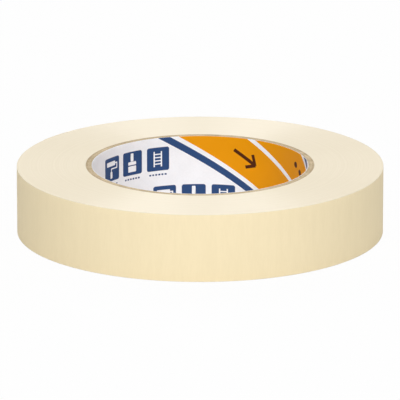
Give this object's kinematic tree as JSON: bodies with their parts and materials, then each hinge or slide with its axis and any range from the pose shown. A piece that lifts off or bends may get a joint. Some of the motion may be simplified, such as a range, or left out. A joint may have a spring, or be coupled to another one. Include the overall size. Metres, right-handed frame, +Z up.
{
  "type": "masking tape roll",
  "caption": "Roll of cream crepe masking tape on a printed paperboard core, with a free end that peels off the roll.",
  "frame": {"origin": "on the roll's axis, at the middle of the lower flat side that it rests on", "axes": "+Z up along the roll's axis; +X and +Y across it, with the tape's cut edge at 150 degrees from +X seen from above, at the back left"},
  "size_m": [0.1294, 0.1295, 0.024],
  "materials": {
    "liner_paper": "satin",
    "board_inner": "matte",
    "board_middle": "matte",
    "board_outer": "matte",
    "wound_tape_paper": "matte",
    "free_tape_paper": "matte"
  },
  "bodies": {
    "roll": {"core_liner": "liner_paper", "core_ply_inner": "board_inner", "core_ply_middle": "board_middle", "core_ply_outer": "board_outer", "wound_tape": "wound_tape_paper"},
    "end_1": {"free_end_1": "free_tape_paper"},
    "end_2": {"free_end_2": "free_tape_paper"},
    "end_3": {"free_end_3": "free_tape_paper"},
    "end_4": {"free_end_4": "free_tape_paper"},
    "end_5": {"free_end_5": "free_tape_paper"},
    "end_6": {"free_end_6": "free_tape_paper"}
  },
  "joints": [
    {"name": "peel_1", "type": "hinge", "parent": "roll", "child": "end_1", "pos_m": [-0.02219, 0.06071, 0.012], "axis": [0, 0, -1], "range_deg": [0, 24]},
    {"name": "peel_2", "type": "hinge", "parent": "end_1", "child": "end_2", "pos_m": [-0.02905, 0.05774, 0.012], "axis": [0, 0, -1], "range_deg": [0, 24]},
    {"name": "peel_3", "type": "hinge", "parent": "end_2", "child": "end_3", "pos_m": [-0.03553, 0.054, 0.012], "axis": [0, 0, -1], "range_deg": [0, 24]},
    {"name": "peel_4", "type": "hinge", "parent": "end_3", "child": "end_4", "pos_m": [-0.04153, 0.04954, 0.012], "axis": [0, 0, -1], "range_deg": [0, 24]},
    {"name": "peel_5", "type": "hinge", "parent": "end_4", "child": "end_5", "pos_m": [-0.04697, 0.04441, 0.012], "axis": [0, 0, -1], "range_deg": [0, 24]},
    {"name": "peel_6", "type": "hinge", "parent": "end_5", "child": "end_6", "pos_m": [-0.05179, 0.03869, 0.012], "axis": [0, 0, -1], "range_deg": [0, 24]}
  ],
  "couplings": [
    {"joint": "peel_2", "follows": "peel_1", "ratio": 1},
    {"joint": "peel_3", "follows": "peel_1", "ratio": 1},
    {"joint": "peel_4", "follows": "peel_1", "ratio": 1},
    {"joint": "peel_5", "follows": "peel_1", "ratio": 1},
    {"joint": "peel_6", "follows": "peel_1", "ratio": 1}
  ]
}
